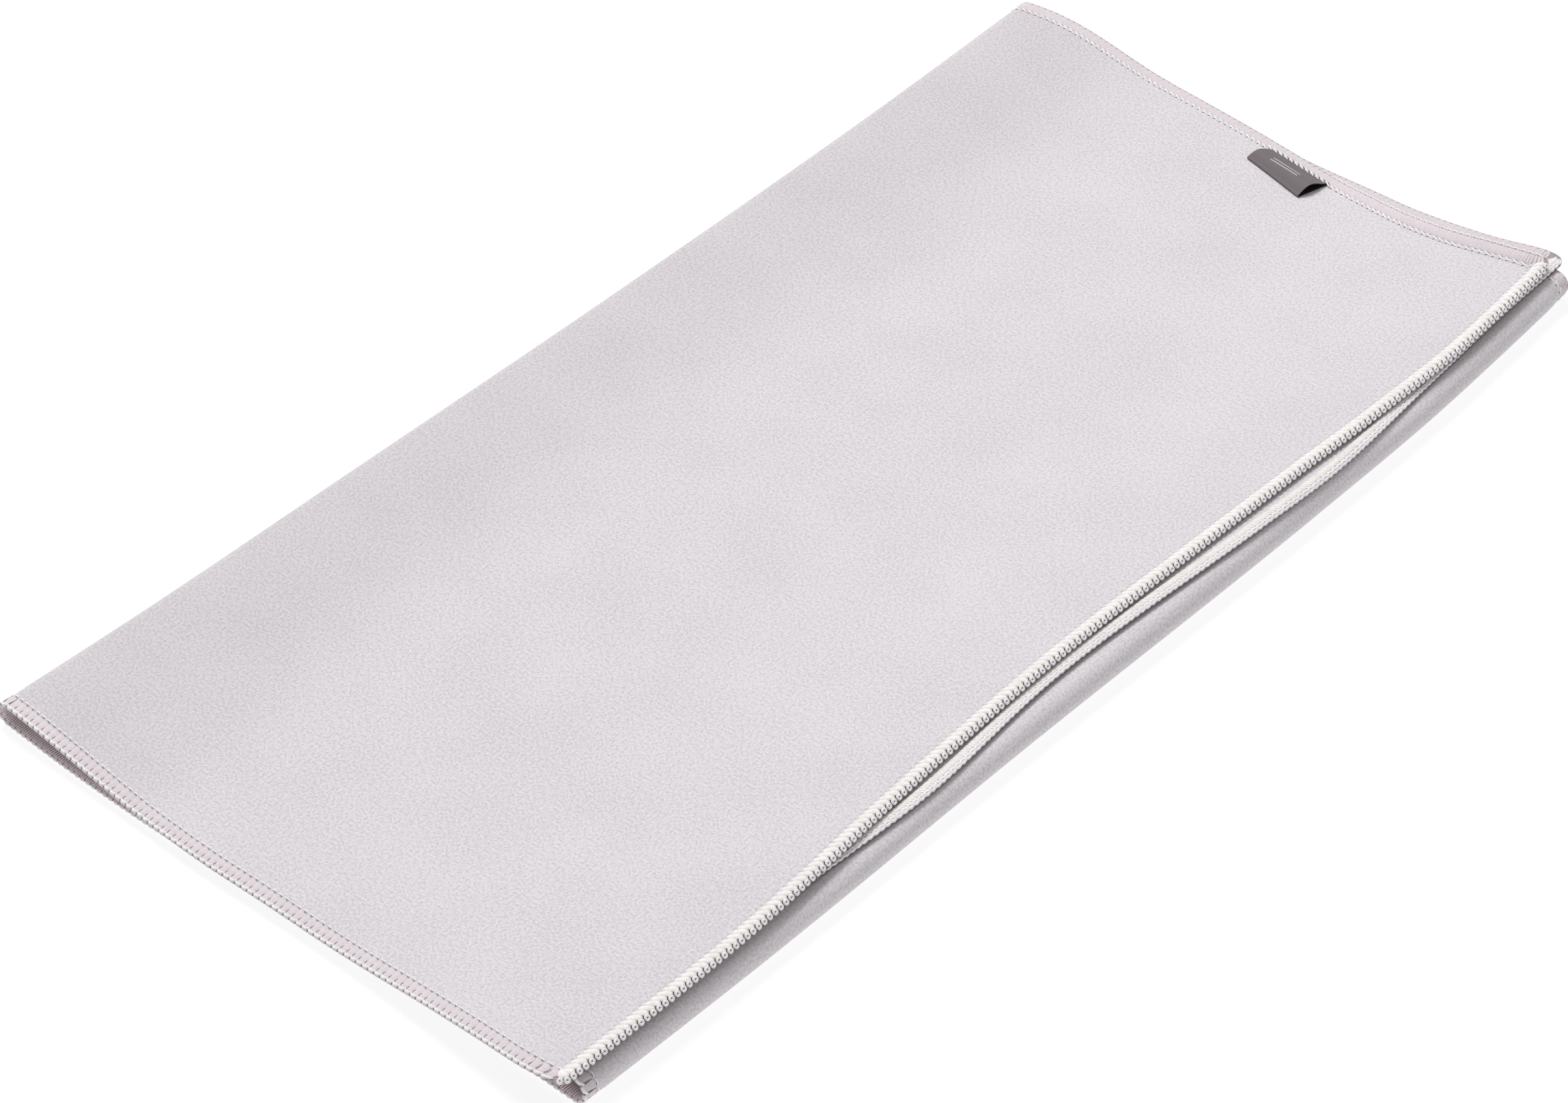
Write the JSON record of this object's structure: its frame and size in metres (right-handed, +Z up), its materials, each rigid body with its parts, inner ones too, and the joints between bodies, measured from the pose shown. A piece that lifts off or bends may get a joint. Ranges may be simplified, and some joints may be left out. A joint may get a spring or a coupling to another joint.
{
  "type": "quick-dry towel",
  "caption": "Thin suede-microfibre quick-dry towel folded in quarters, with overlocked edges and a woven side label; the quarter fold opens and the label flips.",
  "frame": {"origin": "centre of the package's footprint, on the surface that it lies on", "axes": "+X from the left folds to the front fold, +Y along the folds to the side label's end, +Z up"},
  "size_m": [0.3, 0.6, 0.0152],
  "materials": {
    "microfibre_cloth": "brushed suede microfibre, matt",
    "side_hem_stitching": "overlock thread in the cloth's colour",
    "end_stitching": "thick white overlock thread",
    "label_ribbon": "woven satin ribbon"
  },
  "bodies": {
    "lower_half": {"bottom_layer": "microfibre_cloth", "third_layer": "microfibre_cloth", "front_fold": "microfibre_cloth", "outer_fold": "microfibre_cloth", "inner_fold": "microfibre_cloth", "near_hem_bottom_layer": "side_hem_stitching", "near_hem_third_layer": "side_hem_stitching", "near_hem_front_fold": "side_hem_stitching", "near_hem_outer_fold": "side_hem_stitching", "near_hem_inner_fold": "side_hem_stitching", "far_hem_bottom_layer": "side_hem_stitching", "far_hem_third_layer": "side_hem_stitching", "far_hem_front_fold": "side_hem_stitching", "far_hem_outer_fold": "side_hem_stitching", "far_hem_inner_fold": "side_hem_stitching"},
    "upper_half": {"top_layer": "microfibre_cloth", "second_layer": "microfibre_cloth", "top_edge_stitch": "end_stitching", "second_edge_stitch": "end_stitching", "near_hem_top_layer": "side_hem_stitching", "near_hem_second_layer": "side_hem_stitching", "far_hem_top_layer": "side_hem_stitching", "far_hem_second_layer": "side_hem_stitching"},
    "label": {"side_label": "label_ribbon"}
  },
  "joints": [
    {"name": "quarter_fold", "type": "hinge", "parent": "lower_half", "child": "upper_half", "pos_m": [-0.1509, 0, 0.00515], "axis": [0, -1, 0], "range_deg": [0, 175], "deforming": ["outer_fold", "inner_fold", "near_hem_outer_fold", "near_hem_inner_fold", "far_hem_outer_fold", "far_hem_inner_fold"]},
    {"name": "label_flip", "type": "hinge", "parent": "upper_half", "child": "label", "pos_m": [0.011, 0.2943, 0.00645], "axis": [-1, 0, 0], "range_deg": [0, 150]}
  ]
}
